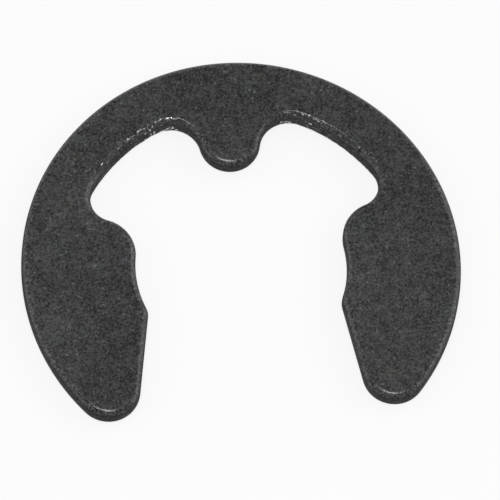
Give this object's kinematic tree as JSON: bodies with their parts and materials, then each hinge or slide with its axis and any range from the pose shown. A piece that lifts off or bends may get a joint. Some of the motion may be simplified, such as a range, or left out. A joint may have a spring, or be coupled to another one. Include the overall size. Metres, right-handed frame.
{
  "type": "e-type external retaining ring",
  "caption": "Flat E-shaped spring-steel ring that pushes sideways into a shaft groove and grips its floor between a central prong and the hollow inner faces of its arms.",
  "frame": {"origin": "axis of the shaft seat (the circle that the prong and the arms touch), on the ring's lower face", "axes": "+Z along the shaft's axis, through the ring's thickness; +Y from the open mouth to the prong; +X to the right, across the mouth"},
  "size_m": [0.0204, 0.0173, 0.0011],
  "materials": {
    "phosphated_steel": "black phosphate and oil over tumbled spring steel, satin, fine grain"
  },
  "bodies": {
    "root": {"retaining_ring": "phosphated_steel"}
  },
  "joints": []
}
